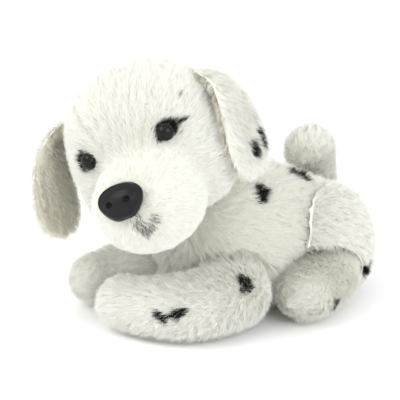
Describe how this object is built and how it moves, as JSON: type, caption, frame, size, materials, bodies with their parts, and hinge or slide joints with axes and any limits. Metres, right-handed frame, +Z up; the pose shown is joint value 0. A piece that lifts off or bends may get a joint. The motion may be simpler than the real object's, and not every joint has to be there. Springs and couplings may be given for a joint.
{
  "type": "plush dog",
  "caption": "Plush puppy lying on its belly with its head turned and tilted, hanging ears, curled forelegs, rounded haunches and a stub tail.",
  "frame": {"origin": "middle of the bounding box in plan, on the surface that the puppy lies on", "axes": "+Z up, the muzzle end of the puppy towards -Y, its left side towards +X"},
  "size_m": [0.1856, 0.2778, 0.2023],
  "materials": {
    "white_plush": "short dense pile, matt, white with small black spots",
    "ear_lining": "short pile, matt, pale beige",
    "fibre_fill": "loose polyester fibre, matt",
    "eye_plastic": "polished black",
    "nose_plastic": "glossy black, lightly uneven",
    "washer_plastic": "natural moulded plastic"
  },
  "bodies": {
    "torso": {"body_side_left": "white_plush", "body_side_right": "white_plush", "belly_panel": "white_plush", "torso_stuffing": "fibre_fill", "haunch_left_cover": "white_plush", "haunch_left_stuffing": "fibre_fill", "haunch_right_cover": "white_plush", "haunch_right_stuffing": "fibre_fill"},
    "head": {"head_gusset": "white_plush", "head_side_left": "white_plush", "head_side_right": "white_plush", "muzzle_cover": "white_plush", "head_stuffing": "fibre_fill", "eye_left": "eye_plastic", "eye_right": "eye_plastic", "eye_washer_left": "washer_plastic", "eye_washer_right": "washer_plastic", "nose": "nose_plastic", "nose_washer": "washer_plastic"},
    "ear_left": {"ear_left_outer": "white_plush", "ear_left_inner": "ear_lining"},
    "ear_right": {"ear_right_outer": "white_plush", "ear_right_inner": "ear_lining"},
    "foreleg_left": {"foreleg_left_cover": "white_plush", "foreleg_left_stuffing": "fibre_fill"},
    "foreleg_right": {"foreleg_right_cover": "white_plush", "foreleg_right_stuffing": "fibre_fill"},
    "foot_left": {"foot_left_cover": "white_plush", "foot_left_stuffing": "fibre_fill"},
    "foot_right": {"foot_right_cover": "white_plush", "foot_right_stuffing": "fibre_fill"},
    "tail": {"tail_cover": "white_plush", "tail_stuffing": "fibre_fill"}
  },
  "joints": [
    {"name": "head_turn", "type": "hinge", "parent": "torso", "child": "head", "pos_m": [0.00742, -0.05916, 0.146], "axis": [0.1171, -0.632, 0.766], "range_deg": [-20, 20], "stiffness_Nm_per_rad": 0.08},
    {"name": "ear_left_lift", "type": "hinge", "parent": "head", "child": "ear_left", "pos_m": [0.03618, -0.03473, 0.19253], "axis": [0.5106, -0.8498, 0.1305], "range_deg": [0, 60]},
    {"name": "ear_right_lift", "type": "hinge", "parent": "head", "child": "ear_right", "pos_m": [-0.04408, -0.08954, 0.1497], "axis": [-0.5106, 0.8498, -0.1305], "range_deg": [0, 60]},
    {"name": "foreleg_left_swing", "type": "hinge", "parent": "torso", "child": "foreleg_left", "pos_m": [0.04524, -0.00916, 0.0286], "axis": [0, 0, 1], "range_deg": [0, 40], "stiffness_Nm_per_rad": 0.02},
    {"name": "foreleg_right_swing", "type": "hinge", "parent": "torso", "child": "foreleg_right", "pos_m": [-0.04176, -0.00816, 0.0286], "axis": [0, 0, -1], "range_deg": [0, 25], "stiffness_Nm_per_rad": 0.02},
    {"name": "foot_left_swing", "type": "hinge", "parent": "torso", "child": "foot_left", "pos_m": [0.06032, 0.07384, 0.0246], "axis": [0, 0, 1], "range_deg": [0, 20], "stiffness_Nm_per_rad": 0.02},
    {"name": "foot_right_swing", "type": "hinge", "parent": "torso", "child": "foot_right", "pos_m": [-0.06032, 0.07384, 0.0246], "axis": [0, 0, -1], "range_deg": [0, 20], "stiffness_Nm_per_rad": 0.02},
    {"name": "tail_wag", "type": "hinge", "parent": "torso", "child": "tail", "pos_m": [0, 0.12184, 0.07812], "axis": [0, 1, 0], "range_deg": [-15, 15], "stiffness_Nm_per_rad": 0.01}
  ]
}
